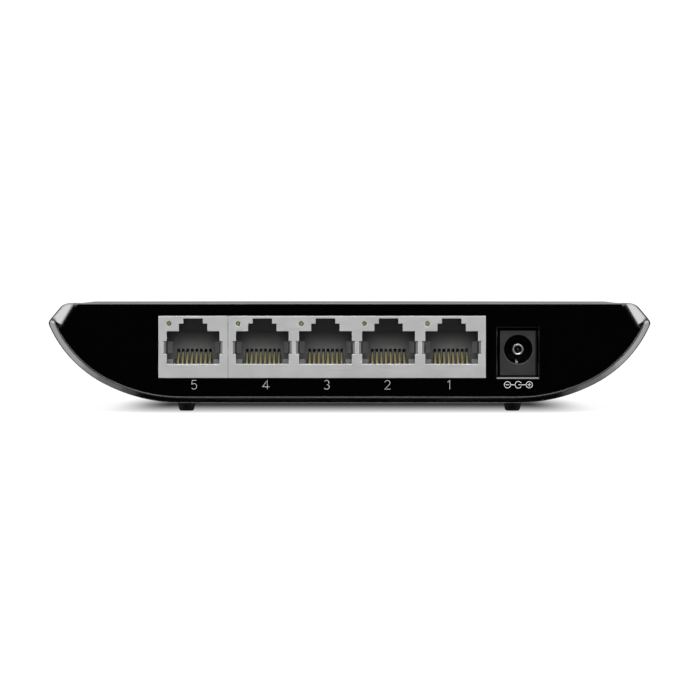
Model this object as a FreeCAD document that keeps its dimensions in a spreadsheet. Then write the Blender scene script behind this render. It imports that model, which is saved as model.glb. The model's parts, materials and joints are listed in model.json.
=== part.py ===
import FreeCAD, Part

import math
import os
import re

import Sketcher
from FreeCAD import Placement, Rotation, Vector

# A desktop network switch: a glossy cover and a textured tray that form a boat-shaped case, a circuit
# board with five shielded network jacks and a power jack along its rear edge, and four rubber feet.
# The rear, with the jacks, faces -Y. The origin is on the table under the middle of the case.

SIZES = [
    # (name, value in mm or degrees, what it is)
    ("case_depth", 88.0, "case, front to rear"),
    ("middle_half_width", 68.7, "half the case's width halfway along its depth"),
    ("end_half_width", 66.3, "half the case's width at its front and rear ends"),
    ("belly_height", 2.1, "underside of the case above the table"),
    ("belly_radius", 36.7, "first arc up from the flat underside"),
    ("belly_turn", 27.5, "turn of the belly arc before the flank arc, in degrees"),
    ("flank_radius", 26.6, "second arc, up to the widest point"),
    ("edge_height", 19.6, "height of the widest point"),
    ("edge_radius", 1.3, "rounding at the widest point"),
    ("bevel_slope", 50.0, "slope of the bevel above the widest point, in degrees"),
    ("shoulder_radius", 2.6, "rounding between the bevel and the top"),
    ("crown_height", 24.3, "highest point of the top"),
    ("crown_radius", 4700.0, "very gentle arch of the top halfway along its depth"),
    ("crown_flattening", 0.9, "share of the arch that is gone at the front and rear ends"),
    ("rim_chamfer", 1.15, "chamfer of the tray's front and rear rims"),
    ("tray_floor", 3.5, "inside floor of the tray"),
    ("tray_flank_radius", 25.8, "second arc of the tray's inside"),
    ("rim_height", 20.35, "upper edge of the tray's sides"),
    ("seam", 0.15, "gap between the cover and the tray"),
    ("wall_recess", 0.5, "rear and front walls behind the tray's rims"),
    ("wall_thickness", 1.6, "rear and front walls"),
    ("top_thickness", 1.8, "top of the cover"),
    ("side_thickness", 1.7, "bevelled sides of the cover"),
    ("skirt_inset", 3.0, "inside of the cover's skirt from the case's widest line"),
    ("skirt_height", 18.4, "lower edge of the cover's skirt"),
    ("cover_rounding", 0.35, "rounding along the cover's top edges"),
    ("facet_x", 64.3, "lower end of a corner facet's edge on the wall, to each side"),
    ("facet_height", 18.7, "height of that lower end"),
    ("facet_slope", 59.2, "slope of the facet's edge on the wall, in degrees"),
    ("facet_turn", 45.0, "turn of the facet away from the wall, in degrees"),
    ("board_half_width", 47.5, "half the board's width"),
    ("board_rear", 41.6, "board's rear edge behind the case's middle"),
    ("board_front", 24.4, "board's front edge ahead of the case's middle"),
    ("board_top", 7.65, "upper face of the board"),
    ("board_thickness", 1.6, "board"),
    ("board_screw_x", 44.0, "board screws, to each side"),
    ("board_screw_rear", 23.0, "rear board screws behind the middle"),
    ("board_screw_front", 19.0, "front board screws ahead of the middle"),
    ("board_screw_seat", 3.0, "radius of the posts under the board screws"),
    ("board_screw_pilot", 1.2, "radius of the pilot holes of the board screws"),
    ("board_pilot_floor", 3.9, "lower end of these pilot holes"),
    ("board_screw_hole", 1.5, "radius of the board screws' holes in the board"),
    ("case_screw_x", 21.0, "case screws, to each side"),
    ("case_screw_y", 34.0, "case screws ahead of the middle"),
    ("case_screw_hole", 1.65, "radius of the case screws' holes in the tray"),
    ("case_screw_sink", 2.7, "radius of the sunk holes for the case screws' heads"),
    ("case_screw_seat", 4.1, "upper end of these sunk holes"),
    ("case_screw_pilot", 1.25, "radius of the pilot holes in the cover's posts"),
    ("tray_post", 4.0, "radius of the tray's posts for the case screws"),
    ("tray_post_top", 6.4, "top of the tray's posts"),
    ("cover_post", 3.2, "radius of the cover's posts"),
    ("cover_post_foot", 6.55, "lower end of the cover's posts"),
    ("foot_x", 36.6, "feet, to each side"),
    ("foot_y", 30.0, "feet, to front and rear"),
    ("foot_hole", 1.25, "radius of the feet's holes in the tray"),
    ("vent_width", 1.6, "vent slots in the tray's floor"),
    ("vent_length", 16.0, "vent slots along Y"),
    ("vent_pitch", 4.0, "vent slots, centre to centre"),
    ("vent_y", 6.0, "middle of the vent slots ahead of the middle"),
    ("snap_line", 1.3, "snap recesses inside the case's widest line"),
    ("snap_length", 6.0, "snap catches along Y"),
    ("snap_width", 0.9, "snap catches along X"),
    ("snap_height", 0.8, "snap catches"),
    ("jack_face", 43.8, "jack faces behind the case's middle"),
    ("jack_depth", 16.0, "network jacks, face to back"),
    ("jack_top", 21.35, "top of the network jacks"),
    ("jack_gap", 0.08, "gap round the network jacks in the rear wall"),
    ("single_jack_x", -34.62, "middle of the single jack"),
    ("single_jack_width", 15.3, "single jack"),
    ("block_jack_x", 1.66, "middle of the four-port jack"),
    ("block_jack_width", 56.95, "four-port jack"),
    ("port_pitch", 13.97, "ports of the four-port jack, centre to centre"),
    ("port_width", 11.73, "port opening"),
    ("port_floor", 10.73, "lower edge of the port opening"),
    ("port_roof", 17.99, "upper edge of the port opening's wide part"),
    ("port_depth", 8.9, "port opening, face to back wall"),
    ("latch_width", 6.33, "lower step of the latch notch"),
    ("latch_roof", 19.67, "top of the lower step"),
    ("notch_width", 4.36, "upper step of the latch notch"),
    ("notch_roof", 20.8, "top of the upper step"),
    ("latch_depth", 8.4, "latch notch, face to back"),
    ("window_reach", 0.74, "side windows beyond the port opening"),
    ("window_floor", 12.95, "lower edge of the side windows"),
    ("window_roof", 15.8, "upper edge of the side windows"),
    ("shield_thickness", 0.25, "sheet metal of the jack shields"),
    ("leg_front", 5.0, "rear pair of shield legs behind the jack's face"),
    ("leg_rear", 12.5, "front pair of shield legs behind the jack's face"),
    ("leg_width", 1.3, "shield legs"),
    ("leg_reach", 2.6, "shield legs below the top of the board"),
    ("rail_width", 1.42, "rails at the lower corners of a port"),
    ("rail_height", 1.1, "rails"),
    ("rail_length", 7.4, "rails along Y"),
    ("rail_y", 38.4, "middle of the rails behind the case's middle"),
    ("trough_start", 1.25, "contact trough behind the jack's face"),
    ("trough_width", 8.8, "contact trough"),
    ("trough_floor", 9.2, "floor of the contact trough"),
    ("channel_width", 8.0, "channel of the contact tails"),
    ("channel_floor", 7.3, "lower edge of the channel, open to the board"),
    ("channel_length", 13.9, "channel along Y"),
    ("lamp_offset", 5.34, "port lamp left of its port's middle"),
    ("lamp_height", 19.65, "port lamp above the table"),
    ("lamp_radius", 0.38, "light pipe of a port lamp"),
    ("lamp_hole", 0.53, "radius of the hole round a port's light pipe"),
    ("lamp_turn", 26.6, "where a port's light pipe turns down, behind the middle"),
    ("contact_pitch", 1.016, "contacts of a port, centre to centre"),
    ("contact_radius", 0.23, "contact wire"),
    ("contact_root", 41.7, "bend of the contact springs behind the case's middle"),
    ("contact_height", 9.65, "bend of the contact springs above the table"),
    ("contact_knee", 34.2, "knee of the contact springs behind the middle"),
    ("contact_rise", 13.2, "knee of the contact springs above the table"),
    ("comb_front", 34.95, "front of the comb slots behind the middle"),
    ("comb_depth", 2.6, "comb slots along Y"),
    ("comb_floor", 9.15, "lower end of the comb slots"),
    ("comb_roof", 13.95, "upper end of the comb slots"),
    ("comb_slot", 0.62, "width of a comb slot"),
    ("tail_height", 8.45, "run of the contact tails under the port"),
    ("tail_rear", 31.6, "rear row of contact tails behind the middle"),
    ("tail_step", 2.54, "between the two rows of contact tails"),
    ("tail_tip", 4.9, "lower end of the tails, under the board"),
    ("power_x", 37.4, "middle of the power jack"),
    ("power_height", 13.95, "axis of the power jack"),
    ("power_face", 42.5, "face of the power jack behind the middle"),
    ("power_width", 8.1, "power jack"),
    ("power_top", 18.2, "top of the power jack"),
    ("power_depth", 14.0, "power jack, face to back"),
    ("power_bore", 3.2, "radius of the power jack's bore"),
    ("power_bore_depth", 9.6, "depth of the bore"),
    ("power_mouth", 0.12, "chamfer at the mouth of the bore"),
    ("power_snout", 1.2, "front of the power jack that fills the window"),
    ("power_floor", 8.2, "lower edge of the snout"),
    ("power_ease", 0.3, "chamfer of the snout's upper edge and right edge"),
    ("power_window_left", 4.6, "window's left edge from the power jack's middle"),
    ("power_window_right", 4.35, "window's right edge from the middle"),
    ("power_window_floor", 7.8, "lower edge of the window"),
    ("power_window_roof", 18.76, "upper edge of the window"),
    ("power_window_bevel", 0.3, "depth of the bevel round the window"),
    ("power_pin", 1.25, "radius of the centre pin"),
    ("power_pin_length", 8.15, "centre pin from the bottom of the bore"),
    ("power_pin_cup", 7.0, "bottom of the cup in the pin's tip, from the bottom of the bore"),
    ("power_pin_wall", 0.32, "wall round the cup"),
    ("power_pin_lug", 27.95, "lug of the centre pin behind the middle"),
    ("power_spring_lug", 33.2, "lug of the leaf spring behind the middle"),
    ("power_spring_x", 37.1, "middle of the power jack's leaf spring"),
    ("power_spring_width", 0.5, "leaf spring"),
    ("chip_x", 6.0, "middle of the switch chip"),
    ("chip_y", 2.5, "middle of the switch chip"),
    ("chip_side", 14.0, "switch chip"),
    ("chip_height", 1.4, "switch chip"),
    ("sink_side", 19.0, "heat sink"),
    ("sink_height", 7.5, "heat sink with fins"),
    ("sink_base", 2.0, "solid base of the heat sink"),
    ("fin_gap", 1.6, "gaps between the fins"),
    ("fin_pitch", 2.6, "gaps along X, centre to centre"),
    ("cross_pitch", 5.0, "gaps along Y, centre to centre"),
    ("transformer_width", 12.7, "transformer module along X"),
    ("transformer_depth", 7.0, "transformer module along Y"),
    ("transformer_height", 5.2, "transformer module"),
    ("transformer_pitch", 14.2, "transformer modules, centre to centre"),
    ("transformer_first", -30.4, "middle of the first transformer module"),
    ("transformer_y", -17.6, "middle of the transformer modules"),
    ("can_radius", 3.15, "smoothing capacitors"),
    ("can_height", 7.7, "top of the smoothing capacitors above the board"),
    ("can_foot", 6.6, "square foot of a smoothing capacitor and of the choke"),
    ("drum_radius", 3.4, "flanges of the choke"),
    ("drum_height", 4.5, "top of the choke above the board"),
    ("power_lamp_x", 36.0, "power lamp at the front"),
    ("power_lamp_y", 21.5, "power lamp ahead of the middle"),
    ("power_lamp_height", 12.0, "power lamp above the table"),
    ("power_lamp_radius", 1.1, "light pipe of the power lamp"),
]

doc = FreeCAD.newDocument("network_switch")
sheet = doc.addObject("Spreadsheet::Sheet", "Sizes")
for line, (alias, value, note) in enumerate(SIZES, 1):
    sheet.set(f"A{line}", alias)
    sheet.set(f"B{line}", str(value))
    sheet.set(f"C{line}", note)
    sheet.setAlias(f"B{line}", alias)
doc.recompute()

ALIASES = {alias for alias, _, _ in SIZES}
SIZE = {alias: value for alias, value, _ in SIZES}
parts = {}


# Small helpers: every size and place is text in the sheet's names, bound with setExpression.

def expression(text):
    """The text with each sheet name written as Sizes.name."""
    return re.sub(r"[A-Za-z_]+", lambda m: f"Sizes.{m[0]}" if m[0] in ALIASES else m[0], str(text))


def bind(thing, prop, text):
    thing.setExpression(prop, expression(text))


def place(thing, at, rotation=None):
    """Puts a thing at a point whose three coordinates are expressions."""
    if rotation is not None:
        thing.Placement = Placement(Vector(), rotation)
    for axis, text in zip("xyz", at):
        bind(thing, f"Placement.Base.{axis}", text)
    return thing


def box(name, size, at):
    """A block from its size and its lowest corner."""
    block = doc.addObject("Part::Box", name)
    for prop, text in zip(("Length", "Width", "Height"), size):
        bind(block, prop, text)
    return place(block, at)


def box_about(name, size, at):
    """A block from its size and the middle of its base."""
    low = (f"{at[0]} - ({size[0]}) / 2", f"{at[1]} - ({size[1]}) / 2", at[2])
    return box(name, size, low)


ALONG = {
    "z": None,
    "y": Rotation(Vector(1, 0, 0), -90),
    "x": Rotation(Vector(0, 1, 0), 90),
}


def cylinder(name, radius, height, at, along="z"):
    """A cylinder from the middle of its first end."""
    rod = doc.addObject("Part::Cylinder", name)
    bind(rod, "Radius", radius)
    bind(rod, "Height", height)
    return place(rod, at, ALONG[along])


def cone(name, radius, end_radius, height, at, along="z"):
    """A cone from the middle of its first end."""
    taper = doc.addObject("Part::Cone", name)
    bind(taper, "Radius1", radius)
    bind(taper, "Radius2", end_radius)
    bind(taper, "Height", height)
    return place(taper, at, ALONG[along])


def fuse(name, shapes):
    joined = doc.addObject("Part::MultiFuse", name)
    joined.Shapes = shapes
    return joined


def cut(name, base, tools):
    """Takes one tool, or several joined into one, out of the base."""
    result = doc.addObject("Part::Cut", name)
    result.Base = base
    result.Tool = tools[0] if len(tools) == 1 else fuse(f"{name}_tools", tools)
    return result


def common(name, base, tool):
    result = doc.addObject("Part::Common", name)
    result.Base = base
    result.Tool = tool
    return result


def group(name, shapes):
    """Several separate solids as one sub-part."""
    compound = doc.addObject("Part::Compound", name)
    compound.Links = shapes
    return compound


def keep(label, thing):
    """Names a sub-part."""
    thing.Label = label
    parts[label] = thing
    return thing


def point_at(sketch, geometry, position, x, y):
    """Fixes a sketch point by two expressions from the sketch's origin."""
    for kind, text in (("DistanceX", x), ("DistanceY", y)):
        value = float(doc.Sizes.evalExpression(expression(text)))
        index = sketch.addConstraint(Sketcher.Constraint(kind, -1, 1, geometry, position, value))
        sketch.setExpression(f"Constraints[{index}]", expression(text))


def draw_lines(sketch, points, closed=True):
    """Draws straight lines through points given as pairs of expressions."""
    values = [Vector(*(float(doc.Sizes.evalExpression(expression(text))) for text in p), 0) for p in points]
    ends = values[1:] + values[:1] if closed else values[1:]
    first = sketch.GeometryCount
    for start, end in zip(values, ends):
        sketch.addGeometry(Part.LineSegment(start, end), False)
    count = len(ends)
    for i in range(count if closed else count - 1):
        following = first + (i + 1) % count
        sketch.addConstraint(Sketcher.Constraint("Coincident", first + i, 2, following, 1))
    for i, (x, y) in enumerate(points[:count]):
        point_at(sketch, first + i, 1, x, y)
    if not closed:
        point_at(sketch, first + count - 1, 2, *points[-1])


def draw_circle(sketch, radius, x="0", y="0"):
    centre = Vector(*(float(doc.Sizes.evalExpression(expression(text))) for text in (x, y)), 0)
    size = float(doc.Sizes.evalExpression(expression(radius)))
    circle = sketch.addGeometry(Part.Circle(centre, Vector(0, 0, 1), size), False)
    index = sketch.addConstraint(Sketcher.Constraint("Radius", circle, size))
    sketch.setExpression(f"Constraints[{index}]", expression(radius))
    point_at(sketch, circle, 3, x, y)


def new_body(name, compound=False):
    body = doc.addObject("PartDesign::Body", name)
    body.AllowCompound = compound
    return body


def origin_feature(body, role):
    return next(f for f in body.Origin.OriginFeatures if f.Role == role)


def sketch_on(body, role, name, offset=None):
    """A sketch on one of the body's origin planes, moved along its normal by an expression."""
    sketch = body.newObject("Sketcher::SketchObject", name)
    sketch.AttachmentSupport = [(origin_feature(body, role), "")]
    sketch.MapMode = "FlatFace"
    if offset is not None:
        bind(sketch, "AttachmentOffset.Base.z", offset)
    return sketch


def pad(body, sketch, name, length, reverse=False):
    feature = body.newObject("PartDesign::Pad", name)
    feature.Profile = sketch
    bind(feature, "Length", length)
    feature.Reversed = reverse
    body.Tip = feature
    return feature


def turned(name, profile, at=("0", "0", "0")):
    """A body turned about its own Z axis from (radius, height) pairs."""
    body = new_body(name)
    sketch = sketch_on(body, "XZ_Plane", f"{name}_profile")
    draw_lines(sketch, profile)
    revolution = body.newObject("PartDesign::Revolution", f"{name}_turned")
    revolution.Profile = sketch
    revolution.ReferenceAxis = (origin_feature(body, "Z_Axis"), [""])
    revolution.Angle = 360
    body.Tip = revolution
    return place(body, at)


def pipe_row(name, radius, path, count="1", pitch="1", first="0", at=("0", "0", "0")):
    """Round wires in a row along X, each bent along a path of (y, z) points, starting along Y or Z."""
    body = new_body(name, compound=True)
    route = sketch_on(body, "YZ_Plane", f"{name}_route", first)
    draw_lines(route, path, closed=False)
    starts_along_y = path[0][1] == path[1][1]
    if starts_along_y:
        section = sketch_on(body, "XZ_Plane", f"{name}_section", f"-({path[0][0]})")
        draw_circle(section, radius, first, path[0][1])
    else:
        section = sketch_on(body, "XY_Plane", f"{name}_section", path[0][1])
        draw_circle(section, radius, first, path[0][0])
    wire = body.newObject("PartDesign::AdditivePipe", f"{name}_wire")
    wire.Profile = section
    wire.Spine = (route, [])
    wire.Transition = "Right corner"
    body.Tip = wire
    if count != "1":
        doc.recompute()
        row = body.newObject("PartDesign::LinearPattern", f"{name}_row")
        row.Originals = [wire]
        row.Direction = (origin_feature(body, "X_Axis"), [""])
        row.Mode = "Spacing" if "Spacing" in row.getEnumerationsOfProperty("Mode") else "Extent"
        row.Occurrences = int(count)
        bind(row, "Length" if row.Mode == "Extent" else "Offset", pitch)
        body.Tip = row
    return place(body, at)


# Outlines of the case across its width. Each is worked out from the sheet at one place along Y.

def half_width(y):
    """Half the case's width: the sides bow outward between the two ends."""
    bow = SIZE["middle_half_width"] - SIZE["end_half_width"]
    return SIZE["middle_half_width"] - bow * (y / (SIZE["case_depth"] / 2)) ** 2


def normal(turn):
    """Outward normal of the outline where it has turned by this angle from the flat underside."""
    return Vector(math.sin(turn), 0, -math.cos(turn))


def mirrored(point):
    return Vector(-point.x, point.y, point.z)


def line(start, end):
    return Part.LineSegment(start, end).toShape()


def arc(start, centre, end):
    middle = centre + (start + end - centre * 2).normalize() * (start - centre).Length
    return Part.Arc(start, middle, end).toShape()


def outline_points(y):
    """Centres of the outline's arcs and the ends of its bevel, on the +X side."""
    turn = math.radians(SIZE["belly_turn"])
    slope = math.pi - math.radians(SIZE["bevel_slope"])
    spread = SIZE["flank_radius"] - SIZE["edge_radius"]
    belly = Vector(0, y, SIZE["belly_height"] + SIZE["belly_radius"])
    edge = Vector(half_width(y) - SIZE["edge_radius"], y, SIZE["edge_height"])
    drop = (SIZE["belly_radius"] - SIZE["flank_radius"]) * math.cos(turn)
    edge_turn = math.acos((belly.z - drop - edge.z) / spread)
    flank = edge - normal(edge_turn) * spread
    belly.x = flank.x - (SIZE["belly_radius"] - SIZE["flank_radius"]) * math.sin(turn)
    along = Vector(math.cos(slope), 0, math.sin(slope))
    bevel_start = edge + normal(slope) * SIZE["edge_radius"]
    share = (y / (SIZE["case_depth"] / 2)) ** 2
    crown_radius = SIZE["crown_radius"] / (1 - SIZE["crown_flattening"] * share)
    crown = Vector(0, y, SIZE["crown_height"] - crown_radius)
    start = bevel_start - normal(slope) * SIZE["shoulder_radius"] - crown
    reach = crown_radius - SIZE["shoulder_radius"]
    run = -start.dot(along) + math.sqrt(start.dot(along) ** 2 - start.dot(start) + reach ** 2)
    shoulder = start + crown + along * run
    return {
        "turn": turn, "edge_turn": edge_turn, "along": along,
        "belly": belly, "flank": flank, "edge": edge, "shoulder": shoulder, "crown": crown,
        "crown_radius": crown_radius,
        "bevel_start": bevel_start, "bevel_end": shoulder + normal(slope) * SIZE["shoulder_radius"],
        "crown_start": shoulder + (shoulder - crown).normalize() * SIZE["shoulder_radius"],
    }


def symmetric_wire(edges, closing):
    """A closed outline from the +X half's edges and the edges that cross the middle."""
    others = [edge.mirror(Vector(), Vector(1, 0, 0)) for edge in edges]
    return Part.Wire(Part.__sortEdges__(edges + others + closing))


def case_outline(y):
    """The whole case: flat underside, belly and flank arcs, rounded edge, bevel and crowned top."""
    p = outline_points(y)
    low = p["belly"] + normal(0) * SIZE["belly_radius"]
    join = p["belly"] + normal(p["turn"]) * SIZE["belly_radius"]
    wide = p["flank"] + normal(p["edge_turn"]) * SIZE["flank_radius"]
    edges = [
        arc(low, p["belly"], join), arc(join, p["flank"], wide), arc(wide, p["edge"], p["bevel_start"]),
        line(p["bevel_start"], p["bevel_end"]), arc(p["bevel_end"], p["shoulder"], p["crown_start"]),
    ]
    top = arc(p["crown_start"], p["crown"], mirrored(p["crown_start"]))
    return symmetric_wire(edges, [line(low, mirrored(low)), top])


def tray_outline(y, gap=0.0):
    """The inside of the tray, open above its rim, or that less a gap all round."""
    p = outline_points(y)
    belly_radius = p["belly"].z - SIZE["tray_floor"] - gap
    flank_radius = SIZE["tray_flank_radius"] - gap
    flank = p["belly"] + normal(p["turn"]) * (belly_radius - flank_radius)
    top_height = SIZE["rim_height"] + SIZE["seam"]
    top_turn = math.acos((flank.z - top_height) / flank_radius)
    low = p["belly"] + normal(0) * belly_radius
    join = p["belly"] + normal(p["turn"]) * belly_radius
    top = flank + normal(top_turn) * flank_radius
    edges = [arc(low, p["belly"], join), arc(join, flank, top)]
    return symmetric_wire(edges, [line(low, mirrored(low)), line(top, mirrored(top))])


def cover_outline(y):
    """The cover before it is trimmed to the tray: its bevels run on down below the rim."""
    p = outline_points(y)
    low = p["bevel_start"] - p["along"] * ((p["bevel_start"].z - 14.0) / p["along"].z)
    foot = Vector(low.x, y, SIZE["tray_floor"] - 0.5)
    edges = [
        line(foot, low), line(low, p["bevel_end"]), arc(p["bevel_end"], p["shoulder"], p["crown_start"]),
    ]
    top = arc(p["crown_start"], p["crown"], mirrored(p["crown_start"]))
    return symmetric_wire(edges, [line(foot, mirrored(foot)), top])


def hollow_outline(y):
    """The space inside the cover: flat below the top, parallel to the bevels, upright inside the skirt."""
    p = outline_points(y)
    ceiling = SIZE["crown_height"] - SIZE["top_thickness"] - 0.2
    slope = math.pi - math.radians(SIZE["bevel_slope"])
    inner = p["bevel_start"] - normal(slope) * SIZE["side_thickness"]
    side = half_width(y) - SIZE["skirt_inset"]
    corner = inner + p["along"] * ((side - inner.x) / p["along"].x)
    top = inner + p["along"] * ((ceiling - inner.z) / p["along"].z)
    foot = Vector(side, y, 0)
    edges = [line(foot, corner), line(corner, top)]
    return symmetric_wire(edges, [line(foot, mirrored(foot)), line(top, mirrored(top))])


def loft(name, outline, end):
    """A solid through three outlines: at the rear end, in the middle and at the front end."""
    sections = []
    for suffix, y in (("rear", -end), ("middle", 0.0), ("front", end)):
        section = doc.addObject("Part::Feature", f"{name}_{suffix}")
        section.Shape = outline(y)
        sections.append(section)
    hull = doc.addObject("Part::Loft", name)
    hull.Sections = sections
    hull.Solid = True
    hull.Ruled = False
    doc.recompute()
    return hull


def end_edges(shape, end):
    """Numbers and edges of a solid that lie flat in its rear or front end."""
    for number, edge in enumerate(shape.Edges, 1):
        bounds = edge.BoundBox
        if bounds.YLength < 1e-4 and abs(abs(bounds.YMin) - end) < 1e-4:
            yield number, edge


def eased(name, kind, base, edges):
    """The base with a Fillet or a Chamfer along numbered edges, each with its two sizes."""
    feature = doc.addObject(f"Part::{kind}", name)
    feature.Base = base
    feature.Edges = edges
    doc.recompute()
    return feature


# The tray, with posts for the board and the cover, snap recesses, vents and holes for feet and screws.

END = SIZE["case_depth"] / 2
WALL_END = END - SIZE["wall_recess"]
SIDES = (-1, 1)
BOARD_SCREWS = [(f"{side} * board_screw_x", y)
                for side in SIDES for y in ("-board_screw_rear", "board_screw_front")]
CASE_SCREWS = [(f"{side} * case_screw_x", "case_screw_y") for side in SIDES]
FEET = [
    ("foot_rear_left", "-foot_x", "-foot_y"), ("foot_rear_right", "foot_x", "-foot_y"),
    ("foot_front_left", "-foot_x", "foot_y"), ("foot_front_right", "foot_x", "foot_y"),
]


BELOW = "belly_height - 1"
VENTS = 8


def bottom_tray():
    hull = loft("case_hull", case_outline, END)
    rims = [(n, SIZE["rim_chamfer"], SIZE["rim_chamfer"]) for n, _ in end_edges(hull.Shape, END)]
    hull = eased("case_hull_chamfered", "Chamfer", hull, rims)
    lower = box_about("tray_height", ("200", "200", "rim_height"), ("0", "0", "0"))
    posts = [cylinder(f"board_post_{i}", "board_screw_seat", "board_top - board_thickness", (x, y, "0"))
             for i, (x, y) in enumerate(BOARD_SCREWS)]
    posts += [cylinder(f"case_post_{i}", "tray_post", "tray_post_top", (x, y, "0"))
              for i, (x, y) in enumerate(CASE_SCREWS)]
    space = cut("tray_space", loft("tray_inside", tray_outline, END + 1), posts)
    tools = [space]
    for i, (x, y) in enumerate(BOARD_SCREWS):
        tools.append(cylinder(f"board_pilot_{i}", "board_screw_pilot", "4", (x, y, "board_pilot_floor")))
    for i, (x, y) in enumerate(CASE_SCREWS):
        tools.append(cylinder(f"case_hole_{i}", "case_screw_hole", "tray_post_top", (x, y, BELOW)))
        tools.append(cylinder(f"case_sunk_hole_{i}", "case_screw_sink", f"case_screw_seat - ({BELOW})",
                              (x, y, BELOW)))
    for label, x, y in FEET:
        tools.append(cylinder(f"{label}_hole", "foot_hole", "tray_floor", (x, y, BELOW)))
    for i in range(VENTS):
        tools.append(box_about(f"vent_{i}", ("vent_width", "vent_length", "tray_floor"),
                               (f"{i - (VENTS - 1) / 2} * vent_pitch", "vent_y", BELOW)))
    for side in SIDES:
        at = (f"{side} * (middle_half_width - snap_line)", "0", "skirt_height + 0.5")
        tools.append(box_about(f"snap_recess_{side + 1}",
                               ("snap_width + 0.3", "snap_length + 0.6", "snap_height + 0.5"), at))
    return cut("tray", common("tray_hull", hull, lower), tools)


keep("bottom_tray", bottom_tray())


# The cover, trimmed to lie inside the tray's rim, with windows for the jacks and a hole for the lamp.

def corner_facets():
    """Blocks that trim the cover's four corners; the inner face of each is a facet."""
    slope = math.radians(SIZE["facet_slope"])
    turn = math.radians(SIZE["facet_turn"])
    reach = 20
    blocks = []
    for side in SIDES:
        for end in SIDES:
            along = Vector(-side * math.cos(slope), 0, math.sin(slope))
            outward = Vector(side * math.sin(slope), 0, math.cos(slope))
            facing = outward * math.sin(turn) + Vector(0, end * math.cos(turn), 0)
            across = facing.cross(along)
            shift = (along + across) * (-reach / 2)
            at = (f"{side} * facet_x + ({shift.x:.6f})",
                  f"{end} * (case_depth / 2 - wall_recess) + ({shift.y:.6f})",
                  f"facet_height + ({shift.z:.6f})")
            block = box(f"facet_block_{side + 1}_{end + 1}", (reach, reach, reach), at)
            blocks.append(place(block, at, Rotation(along, across, facing, "ZXY")))
    return blocks


def top_cover():
    blank = loft("cover_blank", cover_outline, WALL_END)
    small = SIZE["cover_rounding"]
    edges = [(n, small, small) for n, edge in end_edges(blank.Shape, WALL_END)
             if edge.CenterOfMass.z > SIZE["skirt_height"]]
    blank = cut("cover_faceted", eased("cover_rounded", "Fillet", blank, edges), corner_facets())
    inside = loft("cover_fit", lambda y: tray_outline(y, SIZE["seam"]), WALL_END)
    above = box_about("cover_height", ("200", "200", "9"), ("0", "0", "rim_height + seam"))
    outer = common("cover_outer", blank, fuse("cover_region", [inside, above]))
    hollow = loft("cover_hollow", hollow_outline, WALL_END - SIZE["wall_thickness"])
    depth = "case_depth - 2 * (wall_recess + wall_thickness)"
    under = box_about("cover_under", ("200", depth, "skirt_height"), ("0", "0", "0"))
    shell = cut("cover_shell", outer, [hollow, under])
    added = []
    for i, (x, y) in enumerate(CASE_SCREWS):
        post = cylinder(f"cover_post_{i}", "cover_post", "crown_height - 1 - cover_post_foot",
                        (x, y, "cover_post_foot"))
        pilot = cylinder(f"cover_pilot_{i}", "case_screw_pilot", "11", (x, y, "cover_post_foot - 0.5"))
        added.append(cut(f"cover_boss_{i}", post, [pilot]))
    for side in SIDES:
        at = (f"{side} * (middle_half_width - snap_line - 0.35)", "0", "skirt_height + 0.7")
        added.append(box_about(f"snap_{side + 1}", ("snap_width", "snap_length", "snap_height"), at))
    face = "-case_depth / 2 + wall_recess"
    left = "single_jack_x - single_jack_width / 2 - jack_gap"
    right = "block_jack_x + block_jack_width / 2 + jack_gap"
    jack_window = box("jack_window", (f"{right} - ({left})", "4", "jack_top - board_top + 2 * jack_gap"),
                      (left, f"{face} - 1", "board_top - jack_gap"))
    size = ("power_window_left + power_window_right", "4", "power_window_roof - power_window_floor")
    power_window = box("power_window", size, ("power_x - power_window_left", f"{face} - 1",
                                              "power_window_floor"))
    bevel = doc.addObject("Part::Wedge", "power_window_bevel")
    for prop, text in (
            ("Xmin", "-power_window_left - 0.25"), ("Xmax", "power_window_right + 0.22"),
            ("Zmin", "power_window_floor - 0.35"), ("Zmax", "power_window_roof + 0.11"),
            ("X2min", "-power_window_left"), ("X2max", "power_window_right"),
            ("Z2min", "power_window_floor"), ("Z2max", "power_window_roof"),
            ("Ymin", "-0.01"), ("Ymax", "power_window_bevel")):
        bind(bevel, prop, text)
    place(bevel, ("power_x", face, "0"))
    lamp = cylinder("power_lamp_hole", "power_lamp_radius + 0.08", "6",
                    ("power_lamp_x", "39", "power_lamp_height"), "y")
    solid = fuse("cover_solid", [shell] + added)
    return cut("cover", solid, [jack_window, power_window, bevel, lamp])


keep("top_cover", top_cover())


# Feet and screws.

FOOT = [("0", "0"), ("1.4", "0"), ("1.65", "0.25"), ("2.1", "belly_height"), ("1.2", "belly_height"),
        ("1.2", "tray_floor + 0.15"), ("1.75", "tray_floor + 0.3"), ("1.2", "tray_floor + 1"),
        ("0", "tray_floor + 1")]
for label, x, y in FEET:
    keep(label, turned(label, FOOT, (x, y, "0")))


def screw(name, head_radius, head_height, shaft_radius, length, at, head_up):
    """A pan-head screw with a cross recess; its head is above or below the shaft."""
    h, n = (head_height, length) if head_up else (f"-{head_height}", f"-{length}")
    profile = [("0", f"-({n})"), (f"{shaft_radius} * 0.4", f"-({n})"), (shaft_radius, f"-({n}) + ({h})"),
               (shaft_radius, "0"), (head_radius, "0"), (head_radius, f"({h}) * 0.5"),
               (f"{head_radius} * 0.7", h), ("0", h)]
    body = turned(f"{name}_body", profile, at)
    base = f"{at[2]} + {head_height} * 0.35" if head_up else f"{at[2]} - {head_height} * 1.35"
    recess = [box_about(f"{name}_recess_{i}", size, (at[0], at[1], base))
              for i, size in enumerate((("2.2", "0.5", head_height), ("0.5", "2.2", head_height)))]
    return cut(name, body, recess)


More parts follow.
